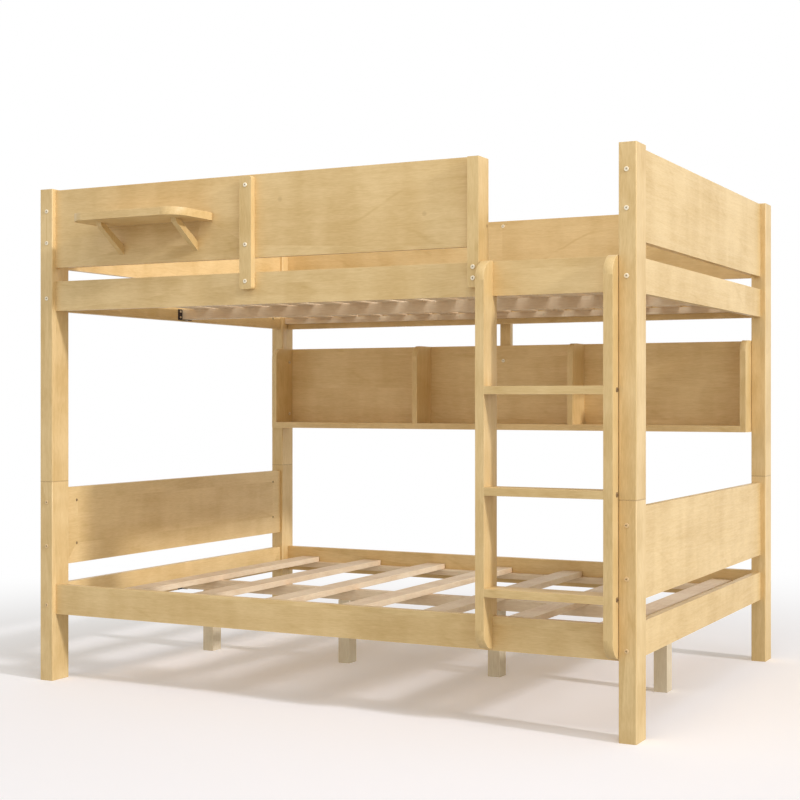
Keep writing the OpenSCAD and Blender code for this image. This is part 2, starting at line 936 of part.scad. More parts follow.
module shelf_end_dowel_holes() {
    for (s = [-1, 1])
        mirror([s < 0 ? 1 : 0, 0, 0])
            for (y = shelf_dowel_y)
                rod_x(inner_x - shelf_t - dowel_half - 1, inner_x - shelf_t + shelf_dowel_out + 1, y,
                    shelf_z + shelf_floor_t / 2, dowel_d + 2 * dowel_play);
}

module divider_dowel_holes() {
    for (x = [-divider_x, divider_x])
        for (y = shelf_dowel_y)
            rod_z(x, y, shelf_floor_z - shelf_dowel_out - 1, shelf_floor_z + dowel_half + 1,
                dowel_d + 2 * dowel_play);
}

module bookshelf_back() {
    color("BurlyWood")
        bed()
            difference() {
                block(-inner_x, inner_x, shelf_mid_y, shelf_back_y, shelf_z, shelf_z + shelf_h);
                shelf_screw_holes();
                sleeve_hole(0, shelf_mid_y, shelf_back_y, strip_top - rear_strip_bolts[3]);
            }
}

module bookshelf_bottom() {
    color("BurlyWood")
        bed()
            difference() {
                block(-inner_x + shelf_t, inner_x - shelf_t, shelf_front_y, shelf_mid_y, shelf_z,
                    shelf_floor_z);
                for (x = [-divider_x, divider_x])
                    block(x - shelf_t / 2, x + shelf_t / 2, shelf_front_y - 1, shelf_mid_y + 1,
                        shelf_floor_z - shelf_dado, shelf_floor_z + 1);
                shelf_end_dowel_holes();
                divider_dowel_holes();
            }
}

module bookshelf_end(side) {
    color("BurlyWood")
        bed()
            mirror([side < 0 ? 1 : 0, 0, 0])
                difference() {
                    along_x(inner_x - shelf_t, shelf_t)
                        shelf_side_profile(shelf_z);
                    shelf_screw_holes();
                    shelf_end_dowel_holes();
                    for (up = shelf_bolt_up)
                        rod_x(inner_x - shelf_t - 1, inner_x + 1, shelf_bolt_y, shelf_z + up,
                            bolt_d + 2 * bolt_play);
                }
}

module bookshelf_left_end() {
    bookshelf_end(-1);
}

module bookshelf_right_end() {
    bookshelf_end(1);
}

module bookshelf_divider(x) {
    color("Wheat")
        bed()
            difference() {
                along_x(x - shelf_t / 2, shelf_t)
                    shelf_side_profile(shelf_floor_z - shelf_dado);
                shelf_screw_holes();
                divider_dowel_holes();
            }
}

module bookshelf_left_divider() {
    bookshelf_divider(-divider_x);
}

module bookshelf_right_divider() {
    bookshelf_divider(divider_x);
}

// Fastener groups

module at_corners() {
    for (side = [-1, 1])
        for (end = [-1, 1])
            corner(side, end)
                children();
}

module post_bolts() {
    color("Silver")
        bed()
            at_corners()
                for (z = concat(lower_bolt_z, upper_bolt_z))
                    toward_minus_y(half_len - bolt_in, half_wid, z)
                        bolt(post_bolt_len);
}

module cross_nuts() {
    color("Silver")
        bed()
            at_corners()
                for (z = concat(lower_bolt_z, upper_bolt_z))
                    difference() {
                        rod_x(board_in_x + nut_hole - nut_len, board_in_x + nut_hole, inner_y - nut_in, z,
                            nut_d);
                        rod_y(half_len - bolt_in, inner_y - nut_in - nut_d, inner_y - nut_in + nut_d, z,
                            bolt_d + 2 * thread_play);
                    }
}

module connector_bolts() {
    color("Silver")
        bed() {
            for (down = front_strip_bolts)
                toward_plus_y(strip_x, -board_out_y - board_t, strip_top - down)
                    bolt(connector_len);
            for (down = rear_strip_bolts)
                toward_minus_y(0, board_out_y + board_t, strip_top - down)
                    bolt(connector_len);
            toward_plus_y(upright_bolt_x, -board_out_y - board_t, upright_bolt_high)
                bolt(upright_bolt_len);
            toward_plus_y(upright_bolt_x, -board_out_y - board_t, upright_bolt_low)
                bolt(connector_len);
        }
}

module sleeve_nuts() {
    color("Silver")
        bed() {
            for (down = front_strip_bolts)
                toward_minus_y(strip_x, -board_in_y, strip_top - down)
                    sleeve_nut();
            for (i = [0 : 2])
                toward_plus_y(0, board_in_y, strip_top - rear_strip_bolts[i])
                    sleeve_nut();
            toward_plus_y(0, shelf_mid_y, strip_top - rear_strip_bolts[3])
                sleeve_nut();
            toward_minus_y(upright_bolt_x, upright_back_y, upright_bolt_high)
                sleeve_nut();
            toward_minus_y(upright_bolt_x, -board_in_y, upright_bolt_low)
                sleeve_nut();
        }
}

module rung_bolts() {
    color("Silver")
        bed()
            for (i = [0 : 2]) {
                toward_plus_x(ladder_left, rung_bolt_y, rung_bolt_z(i))
                    bolt(stile_t + rung_bolt_deep);
                toward_minus_x(ladder_right, rung_bolt_y, rung_bolt_z(i))
                    bolt(stile_t + rung_bolt_deep);
            }
}

module ladder_bolts() {
    color("Silver")
        bed()
            for (x = [ladder_left + stile_t / 2, ladder_right - stile_t / 2])
                for (z = [lower_rail_z + ladder_bolt_lower, upper_rail_z + ladder_bolt_upper])
                    toward_minus_y(x, -board_in_y, z)
                        bolt(board_t + ladder_bolt_deep);
}

module bookshelf_bolts() {
    color("Silver")
        bed()
            for (side = [-1, 1])
                mirror([side < 0 ? 1 : 0, 0, 0])
                    for (up = shelf_bolt_up)
                        toward_plus_x(inner_x - shelf_t, shelf_bolt_y, shelf_z + up)
                            bolt(shelf_t + shelf_bolt_deep);
}

module plate_blank(x0) {
    difference() {
        block(x0, x0 + plate_t, -plate_w / 2, plate_w / 2, -plate_h / 2, plate_h / 2);
        children();
    }
}

// Plate in the rail's end, with two tongues that hook down behind the slot plate
module hook_plate() {
    plate_blank(-plate_t)
        for (s = [-1, 1])
            toward_minus_x(-plate_screw_sink, 0, s * plate_screw_up)
                screw_hole(plate_screw_len);
    for (s = [-1, 1]) {
        block(-0.5, hook_reach, -hook_t / 2, hook_t / 2, s * hook_step - hook_rise,
            s * hook_step + hook_rise);
        block(plate_t + hook_play, hook_reach, -hook_t / 2, hook_t / 2, s * hook_step - hook_rise - hook_drop,
            s * hook_step);
    }
}

module slot_plate() {
    plate_blank(0) {
        for (s = [-1, 1]) {
            toward_plus_x(plate_screw_sink, 0, s * plate_screw_up)
                screw_hole(plate_screw_len);
            block(-1, plate_t + 1, -hook_t / 2 - hook_play, hook_t / 2 + hook_play,
                s * hook_step - hook_rise, s * hook_step + hook_rise + hook_drop + 1);
        }
    }
}

module at_rail_ends() {
    at_corners()
        for (z = [lower_rail_z + rail_h / 2, upper_rail_z + rail_h / 2])
            translate([inner_x, board_mid_y, z])
                children();
}

module rail_hook_plates() {
    color("Gray")
        bed()
            at_rail_ends()
                hook_plate();
}

module post_slot_plates() {
    color("Gray")
        bed()
            at_rail_ends()
                slot_plate();
}

// Plate behind the beam's end with a lip under the beam
module beam_hanger(seat) {
    z0 = seat - beam_h - hanger_t;
    difference() {
        union() {
            block(board_in_x - hanger_len, board_in_x, -beam_w / 2, beam_w / 2, z0, z0 + hanger_t);
            block(board_in_x - hanger_t, board_in_x, -beam_w / 2 - hanger_flange, beam_w / 2 + hanger_flange,
                z0, seat);
        }
        for (s = [-1, 1])
            for (up = hanger_screw_up)
                rod_x(board_in_x - hanger_t - 1, board_in_x + 1, s * hanger_screw_y, seat - beam_h + up,
                    pilot_d);
        rod_z(seat_screw_x, 0, z0 - 1, z0 + hanger_t + 1, pilot_d);
    }
}

module beam_hangers() {
    color("DimGray")
        bed()
            for (side = [-1, 1])
                mirror([side < 0 ? 1 : 0, 0, 0]) {
                    beam_hanger(lower_seat_z);
                    beam_hanger(upper_seat_z);
                }
}

module hanger_screws(seat) {
    for (side = [-1, 1])
        mirror([side < 0 ? 1 : 0, 0, 0]) {
            for (s = [-1, 1])
                for (up = hanger_screw_up)
                    toward_plus_x(board_in_x - hanger_t - screw_head_h, s * hanger_screw_y,
                        seat - beam_h + up)
                        screw(screw_head_h + hanger_t + hanger_screw_deep);
            translate([seat_screw_x, 0, seat - beam_h - hanger_t - screw_head_h])
                screw(screw_head_h + hanger_t + hanger_screw_deep);
        }
}

module ledger_screw_row(end, seat) {
    corner(1, end)
        for (i = [0 : ledger_screws - 1])
            toward_plus_y(ledger_screw_x(i), board_in_y - board_t, seat - ledger_h / 2)
                screw(ledger_screw_len);
}

module wood_screws() {
    color("Silver")
        bed() {
            for (end = [-1, 1])
                for (seat = [lower_seat_z, upper_seat_z])
                    ledger_screw_row(end, seat);
            for (seat = [lower_seat_z, upper_seat_z])
                hanger_screws(seat);
            at_rail_ends()
                for (s = [-1, 1]) {
                    toward_plus_x(plate_screw_sink, 0, s * plate_screw_up)
                        screw(plate_screw_len);
                    toward_minus_x(-plate_screw_sink, 0, s * plate_screw_up)
                        screw(plate_screw_len);
                }
            for (x = [-inner_x + shelf_t / 2, -divider_x, divider_x, inner_x - shelf_t / 2])
                for (up = shelf_screw_up)
                    toward_minus_y(x, shelf_back_y, shelf_z + up)
                        screw(shelf_screw_len);
            for (x = small_screws_x)
                toward_minus_y(x, -board_in_y, small_z + small_t / 2)
                    screw(small_screw_len);
            for (x = brace_x)
                toward_minus_y(x + brace_t / 2, -board_in_y, small_z - brace_screw_drop)
                    screw(small_screw_len);
        }
}

module wood_dowels() {
    color("Tan")
        bed() {
            at_corners()
                rod_z(inner_x + post_len / 2, inner_y + post_wid / 2, post_split - post_dowel_half,
                    post_split + post_dowel_half, post_dowel_d);
            for (up = guard_dowel_up) {
                for (side = [-1, 1])
                    mirror([side < 0 ? 1 : 0, 0, 0])
                        rod_x(inner_x - dowel_half, inner_x + dowel_half, board_mid_y, upper_panel_z + up,
                            dowel_d);
                rod_x(-inner_x - dowel_half, -inner_x + dowel_half, -board_mid_y, upper_panel_z + up,
                    dowel_d);
                rod_x(upright_x0 - dowel_half, upright_x0 + dowel_half, -board_mid_y, upper_panel_z + up,
                    dowel_d);
            }
            for (i = [0 : 3])
                rod_z(leg_x(i), 0, lower_seat_z - beam_h - dowel_half, lower_seat_z - beam_h + dowel_half,
                    dowel_d);
            for (x = brace_x)
                rod_z(x + brace_t / 2, brace_dowel_y, small_z - brace_dowel_half, small_z + brace_dowel_half,
                    dowel_d);
            for (y = shelf_dowel_y) {
                for (side = [-1, 1])
                    mirror([side < 0 ? 1 : 0, 0, 0])
                        rod_x(inner_x - shelf_t - dowel_half, inner_x - shelf_t + shelf_dowel_out, y,
                            shelf_z + shelf_floor_t / 2, dowel_d);
                for (x = [-divider_x, divider_x])
                    rod_z(x, y, shelf_floor_z - shelf_dowel_out, shelf_floor_z + dowel_half, dowel_d);
            }
        }
}

// Named pieces made from the shared shapes

module front_left_post_lower() {
    color("BurlyWood") lower_post(-1, -1);
}

module front_right_post_lower() {
    color("BurlyWood") lower_post(1, -1);
}

module rear_left_post_lower() {
    color("BurlyWood") lower_post(-1, 1);
}

module rear_right_post_lower() {
    color("BurlyWood") lower_post(1, 1);
}

module front_left_post_upper() {
    color("BurlyWood") upper_post(-1, -1);
}

module front_right_post_upper() {
    color("BurlyWood") upper_post(1, -1);
}

module rear_left_post_upper() {
    color("BurlyWood") upper_post(-1, 1);
}

module rear_right_post_upper() {
    color("BurlyWood") upper_post(1, 1);
}

module left_end_lower_rail() {
    color("BurlyWood") end_board(-1, lower_rail_z, rail_h, [lower_rail_bolt], lower_seat_z);
}

module right_end_lower_rail() {
    color("BurlyWood") end_board(1, lower_rail_z, rail_h, [lower_rail_bolt], lower_seat_z);
}

module left_end_upper_rail() {
    color("BurlyWood") end_board(-1, upper_rail_z, rail_h, [upper_rail_bolt], upper_seat_z);
}

module right_end_upper_rail() {
    color("BurlyWood") end_board(1, upper_rail_z, rail_h, [upper_rail_bolt], upper_seat_z);
}

module left_end_lower_panel() {
    color("BurlyWood") end_board(-1, lower_panel_z, panel_h, lower_panel_bolts);
}

module right_end_lower_panel() {
    color("BurlyWood") end_board(1, lower_panel_z, panel_h, lower_panel_bolts);
}

module left_end_upper_panel() {
    color("BurlyWood") end_board(-1, upper_panel_z, panel_h, upper_panel_bolts);
}

module right_end_upper_panel() {
    color("BurlyWood") end_board(1, upper_panel_z, panel_h, upper_panel_bolts);
}

module front_lower_ledger() {
    color("BurlyWood") ledger(-1, lower_seat_z);
}

module rear_lower_ledger() {
    color("BurlyWood") ledger(1, lower_seat_z);
}

module front_upper_ledger() {
    color("BurlyWood") ledger(-1, upper_seat_z);
}

module rear_upper_ledger() {
    color("BurlyWood") ledger(1, upper_seat_z);
}

front_left_post_lower();
front_right_post_lower();
rear_left_post_lower();
rear_right_post_lower();
front_left_post_upper();
front_right_post_upper();
rear_left_post_upper();
rear_right_post_upper();
left_end_lower_rail();
right_end_lower_rail();
left_end_upper_rail();
right_end_upper_rail();
left_end_lower_panel();
right_end_lower_panel();
left_end_upper_panel();
right_end_upper_panel();
front_lower_rail();
rear_lower_rail();
front_upper_rail();
rear_upper_rail();
front_lower_ledger();
rear_lower_ledger();
front_upper_ledger();
rear_upper_ledger();
lower_centre_beam();
upper_centre_beam();
lower_slats();
upper_slats();
centre_legs();
front_guard_board();
rear_guard_board();
front_guard_strip();
rear_centre_strip();
guard_end_upright();
small_shelf_board();
small_shelf_left_brace();
small_shelf_right_brace();
ladder_left_stile();
ladder_right_stile();
ladder_bottom_rung();
ladder_middle_rung();
ladder_top_rung();
bookshelf_back();
bookshelf_bottom();
bookshelf_left_end();
bookshelf_right_end();
bookshelf_left_divider();
bookshelf_right_divider();
post_bolts();
cross_nuts();
connector_bolts();
sleeve_nuts();
rung_bolts();
ladder_bolts();
bookshelf_bolts();
rail_hook_plates();
post_slot_plates();
beam_hangers();
wood_screws();
wood_dowels();
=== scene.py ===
import math

import bpy
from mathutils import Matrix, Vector

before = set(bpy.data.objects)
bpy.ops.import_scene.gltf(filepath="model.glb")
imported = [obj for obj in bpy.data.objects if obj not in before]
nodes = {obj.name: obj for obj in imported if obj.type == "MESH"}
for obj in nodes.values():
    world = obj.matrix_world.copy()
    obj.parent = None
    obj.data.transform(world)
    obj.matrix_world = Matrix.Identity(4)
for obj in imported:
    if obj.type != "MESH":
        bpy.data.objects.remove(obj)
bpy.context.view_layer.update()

# Camera of the photograph, found from the ends of posts, rails and ladder
CAMERA_PLACE = (2.27159, -4.47532, 0.91498)
CAMERA_TURN = (math.radians(89.98277), 0.0, math.radians(27.25826))
CAMERA_LENS = 67.3785
CAMERA_SENSOR = 36.0
CAMERA_REACH = 100.0

# Sun from the right end: its heading, strength, colour and the width of its disc
KEY_TRAVEL = Vector((-1.0, 0.148, -0.405))
KEY_STRENGTH = 1.62
KEY_COLOUR = (1.0, 0.99, 1.05)
KEY_SOFTNESS = math.radians(3.8)
KEY_PLACE = (4.0, -1.0, 2.5)

# Sky that lights the object: strength at the horizon and overhead
SKY_HORIZON = 1.12
SKY_ZENITH = 0.28
SKY_COLOUR = (1.0, 0.99, 0.97, 1.0)

# Round lamp above the front
LAMP_PLACE = (1.15, -1.8, 3.4)
LAMP_WIDTH = 2.0
LAMP_POWER = 26.0
LAMP_AIM = Vector((0.0, 0.0, 0.8))
LAMP_COLOUR = (1.0, 0.99, 1.03)

# Floor: its colour to the eye, its colour and glow for the object,
# and the distances from a centre between which it fades to white
FLOOR_REACH = 30.0
FLOOR_COLOUR = (1.09, 1.07, 1.07, 1.0)
FLOOR_BOUNCE = (0.50, 0.49, 0.47, 1.0)
FLOOR_GLOW = 0.13
FLOOR_GLOW_COLOUR = (1.0, 0.985, 0.97, 1.0)
FLOOR_FADE_CENTRE = (0.5, -0.5, 0.0)
FLOOR_FADE_START = 0.9
FLOOR_FADE_END = 4.2
WHITE = (1.0, 1.0, 1.0, 1.0)

# Mesh clean-up and the small rounding of every arris
WELD_REACH = 0.00002
FLAT_ANGLE = math.radians(0.6)
WOOD_ARRIS = 0.0012
METAL_ARRIS = 0.0003
ARRIS_SEGMENTS = 2
ARRIS_ANGLE = math.radians(40.0)

# Joint of the posts' halves, and its dark line of painted shade: half its width, its full core and
# its depth
POST_JOINT_Z = 0.6475
JOINT_HALF_WIDTH = 0.0022
JOINT_CORE = 0.0006
JOINT_DEPTH = 0.75
# Knots that show: place, radius and depth of tone; the core is a share of the radius
GUARD_KNOTS = [((-0.105, -0.6485, 1.516), 0.010, 0.22), ((0.378, -0.6485, 1.445), 0.009, 0.22)]
UPRIGHT_KNOTS = [((0.557, -0.6125, 1.404), 0.0065, 0.75)]
KNOT_CORE = 0.3
# Line of figure that climbs along the guard boards: from and to, in x and z
GUARD_FIGURE = (0.08, 0.40, 1.425, 1.541)
LINE_HALF_WIDTH = 0.007
LINE_START = 0.06
LINE_WOBBLE = 0.02
LINE_DEPTH = 0.45
LINE_BREAK = (0.30, 0.50)

# Order that brings the grain's direction to the front of the coordinates
GRAIN_ORDER = {"x": ("X", "Y", "Z"), "y": ("Y", "X", "Z"), "z": ("Z", "Y", "X")}
# How far chance shifts the grain of a piece: along it, twice across it, and at the pith
CHANCE_ALONG = 7.31
CHANCE_SIDE_A = 3.77
CHANCE_SIDE_B = 5.13
CHANCE_PITH = 0.91
CHANCE_CAST = 9.7

# Waves per metre of the wood's noises, along the grain and twice across it
BEND_WAVES = (1.6, 7.0, 7.0)
SWAY_WAVES = (0.7, 2.0, 2.0)
RIPPLE_WAVES = (6.0, 26.0, 26.0)
BREAK_WAVES = (3.5, 16.0, 16.0)
WIDE_FIBRES = (3.0, 70.0, 70.0)
MIDDLE_FIBRES = (12.0, 230.0, 230.0)
FINE_FIBRES = (40.0, 900.0, 900.0)
DASH_WAVES = (42.0, 330.0, 330.0)
CLOUD_WAVES = (3.0, 9.0, 9.0)
CURL_WAVES = (9.0, 1.8, 1.8)
KNOT_CELLS = (1.7, 4.3, 4.3)

# Values of those noises between which each trait grows from nothing to full
RING_BREAK = (0.36, 0.60)
FIGURE_BREAK = (0.44, 0.60)
FIBRE_RANGE = (0.34, 0.66)
CLOUD_RANGE = (0.30, 0.70)
CURL_RANGE = (0.36, 0.64)
KNOT_RANGE = (0.036, 0.0)
HALO_RANGE = (0.13, 0.02)

# How far each trait takes the wood from its light to its dark tone
RING_DEPTH = 0.13
FIGURE_DEPTH = 0.16
STREAK_DEPTH = 0.23
DASH_DEPTH = 0.21
CLOUD_DEPTH = 0.34
CURL_DEPTH = 0.22
HALO_DEPTH = 0.10
KNOT_DEPTH = 0.40
CAST_DEPTH = 0.10
END_GRAIN_DEPTH = 0.16
# Depth of the painted shade in crevices and joints
CREVICE_SHADE_DEPTH = 0.28

# Growth rings: the pith's lean and range, how noise moves it, and where the late wood stands
PITH_LEAN = 0.035
PITH_RANGE_A = 0.05
PITH_RANGE_B = 0.16
PITH_BEND = 0.10
PITH_SWAY_A = 0.16
PITH_SWAY_B = 0.22
RING_WOBBLE = 0.016
LATE_POWER = 2.5
LATE_END = 0.82
# Slanting figure: its slant, spacing, half width of a line, and how noise moves it
FIGURE_SLANT = 0.55
FIGURE_PITCH = 0.31
FIGURE_HALF_WIDTH = 0.045
FIGURE_SWAY = 0.45
FIGURE_WOBBLE = 0.05
# Shares of the three widths of fibre in a streak
WIDE_SHARE = 0.45
MIDDLE_SHARE = 0.4
FINE_SHARE = 0.15

# Tones laid over the wood
CAST_COLOUR = (1.0, 0.88, 0.78, 1.0)
# Colour of the painted shade in crevices and joints
CREVICE_SHADE_COLOUR = (0.30, 0.20, 0.12, 1.0)
KNOT_TONE = (0.50, 0.38, 0.28)
RUBBED_TONE = 1.15
END_GRAIN_RANGE = (0.7, 0.95)
# Rubbed arrises, and painted shade in crevices and joints: reach, and the values between which
# each shows
RUBBED_RADIUS = 0.003
RUBBED_RANGE = (0.985, 0.86)
RUBBED_PATCHES = (0.35, 0.65, 0.25, 0.6)
RUBBED_OPEN = (0.6, 0.95)
WOOD_CREVICE = 0.010
CREVICE_SHADE_RANGE = (0.70, 0.15)
# Surface of the wood
STREAK_ROUGH = 0.10
LATE_ROUGH = 0.05
STREAK_HEIGHT = 0.8
DASH_HEIGHT = -0.5
LATE_HEIGHT = -0.35
WOOD_BUMP = {"Strength": 0.22, "Distance": 0.0006}
WOOD_IOR = 1.48

# Metal: waves and shares of its clouds and scratches, its painted shade in crevices, and its
# surface
METAL_CLOUDS = 90.0
METAL_SCRATCHES = (900.0, 900.0, 90.0)
CLOUD_SHARE = 0.6
SCRATCH_SHARE = 0.4
METAL_RANGE = (0.3, 0.7)
METAL_POLISH = 0.06
METAL_DULL = 0.08
HEAD_STEP = 0.002
# Painted shade round the metal where it meets other parts: reach, range and colour
METAL_CREVICE = 0.005
METAL_SHADE_RANGE = (0.75, 0.25)
METAL_CREVICE_SHADE = (0.25, 0.20, 0.15, 1.0)
METAL_BUMP = {"Strength": 0.15, "Distance": 0.0002}


def srgb(r, g, b):
    def part(v):
        v /= 255.0
        return v / 12.92 if v <= 0.04045 else ((v + 0.055) / 1.055) ** 2.4
    return (part(r), part(g), part(b), 1.0)


scene = bpy.context.scene

camera_data = bpy.data.cameras.new("camera")
camera_data.lens = CAMERA_LENS
camera_data.sensor_width = CAMERA_SENSOR
camera_data.clip_end = CAMERA_REACH
camera = bpy.data.objects.new("camera", camera_data)
camera.location = CAMERA_PLACE
camera.rotation_euler = CAMERA_TURN
scene.collection.objects.link(camera)
scene.camera = camera
scene.view_settings.view_transform = "Standard"


class Tree:
    """Short calls for building a node tree."""

    def __init__(self, tree):
        self.tree = tree

    def new(self, kind, inputs=None, **settings):
        node = self.tree.nodes.new(kind)
        for key, value in settings.items():
            setattr(node, key, value)
        for key, value in (inputs or {}).items():
            self.feed(node.inputs[key], value)
        return node

    def feed(self, socket, value):
        if isinstance(value, bpy.types.NodeSocket):
            self.tree.links.new(value, socket)
        else:
            socket.default_value = value

    def math(self, operation, a, b=0.0, c=0.0):
        return self.new("ShaderNodeMath", {0: a, 1: b, 2: c}, operation=operation).outputs[0]

    def vector(self, operation, a, b, output=0):
        return self.new("ShaderNodeVectorMath", {0: a, 1: b}, operation=operation).outputs[output]

    def spread(self, value, low, high, to_low=0.0, to_high=1.0, smooth=True):
        """Maps low..high of a value to to_low..to_high."""
        kind = "SMOOTHSTEP" if smooth else "LINEAR"
        node = self.new("ShaderNodeMapRange", {"Value": value, "From Min": low, "From Max": high,
                                               "To Min": to_low, "To Max": to_high},
                        interpolation_type=kind)
        return node.outputs["Result"]

    def apart(self, a, b):
        return self.math("ABSOLUTE", self.math("SUBTRACT", a, b))

    def noise(self, vector, waves=None, scale=1.0, detail=2.0, roughness=0.5):
        """Noise of a place, stretched by waves per metre where these are given."""
        if waves:
            vector = self.vector("MULTIPLY", vector, waves)
        node = self.new("ShaderNodeTexNoise", {"Vector": vector, "Scale": scale, "Detail": detail,
                                               "Roughness": roughness})
        return node.outputs["Fac"]

    def swing(self, vector, waves, detail):
        """Noise that swings about zero."""
        return self.math("SUBTRACT", self.noise(vector, waves, detail=detail), 0.5)

    def mix(self, factor, a, b, blend="MIX"):
        node = self.new("ShaderNodeMix", data_type="RGBA", blend_type=blend)
        self.feed(node.inputs["Factor"], factor)
        self.feed(node.inputs[6], a)
        self.feed(node.inputs[7], b)
        return node.outputs[2]

    def open_air(self, reach):
        return self.new("ShaderNodeAmbientOcclusion", {"Distance": reach}, samples=6).outputs["AO"]


def new_material(name):
    material = bpy.data.materials.new(name)
    material.use_nodes = True
    material.node_tree.nodes.clear()
    tree = Tree(material.node_tree)
    shader = tree.new("ShaderNodeBsdfPrincipled")
    tree.new("ShaderNodeOutputMaterial", {"Surface": shader.outputs[0]})
    return material, tree, shader


def growth_rings(t, parts, order, chance, swings, ring_pitch):
    """Late wood of rings round a pith that leans a little, bent by slow noise."""
    bend, sway, ripple = swings
    pith_b = t.math("MULTIPLY_ADD", chance, CHANCE_PITH, parts[order[2]])
    pith_b = t.math("PINGPONG", pith_b, PITH_RANGE_B)
    pith_b = t.math("MULTIPLY_ADD", bend, PITH_BEND, pith_b)
    pith_b = t.math("MULTIPLY_ADD", sway, PITH_SWAY_B, pith_b)
    pith_a = t.math("PINGPONG", parts[order[1]], PITH_RANGE_A)
    pith_a = t.math("MULTIPLY_ADD", parts[order[0]], PITH_LEAN, pith_a)
    pith_a = t.math("MULTIPLY_ADD", sway, PITH_SWAY_A, pith_a)
    radius = t.math("SQRT", t.math("ADD", t.math("MULTIPLY", pith_a, pith_a),
                                   t.math("MULTIPLY", pith_b, pith_b)))
    radius = t.math("MULTIPLY_ADD", ripple, RING_WOBBLE, radius)
    phase = t.math("FRACT", t.math("DIVIDE", radius, ring_pitch))
    late = t.math("POWER", phase, LATE_POWER)
    return t.math("MULTIPLY", late, t.spread(phase, LATE_END, 1.0, 1.0, 0.0))


def slanting_figure(t, along, across, sway, ripple):
    """A few broad lines that cross the board at a slant."""
    figure = t.math("MULTIPLY_ADD", along, FIGURE_SLANT, across)
    figure = t.math("MULTIPLY_ADD", sway, FIGURE_SWAY, figure)
    figure = t.math("MULTIPLY_ADD", ripple, FIGURE_WOBBLE, figure)
    phase = t.math("FRACT", t.math("DIVIDE", figure, FIGURE_PITCH))
    return t.spread(t.apart(phase, 0.5), 0.0, FIGURE_HALF_WIDTH, 1.0, 0.0)


def climbing_line(t, parts, ripple, broken, ends):
    """One line of figure, from and to in x and z."""
    start, end, low, high = ends
    climb = t.spread(parts["X"], start, end, low, high)
    climb = t.math("MULTIPLY_ADD", ripple, LINE_WOBBLE, climb)
    line = t.spread(t.apart(parts["Z"], climb), LINE_HALF_WIDTH, 0.0, 0.0, LINE_DEPTH)
    line = t.math("MULTIPLY", line, t.spread(parts["X"], start, start + LINE_START))
    return t.math("MULTIPLY", line, t.spread(broken, *LINE_BREAK))


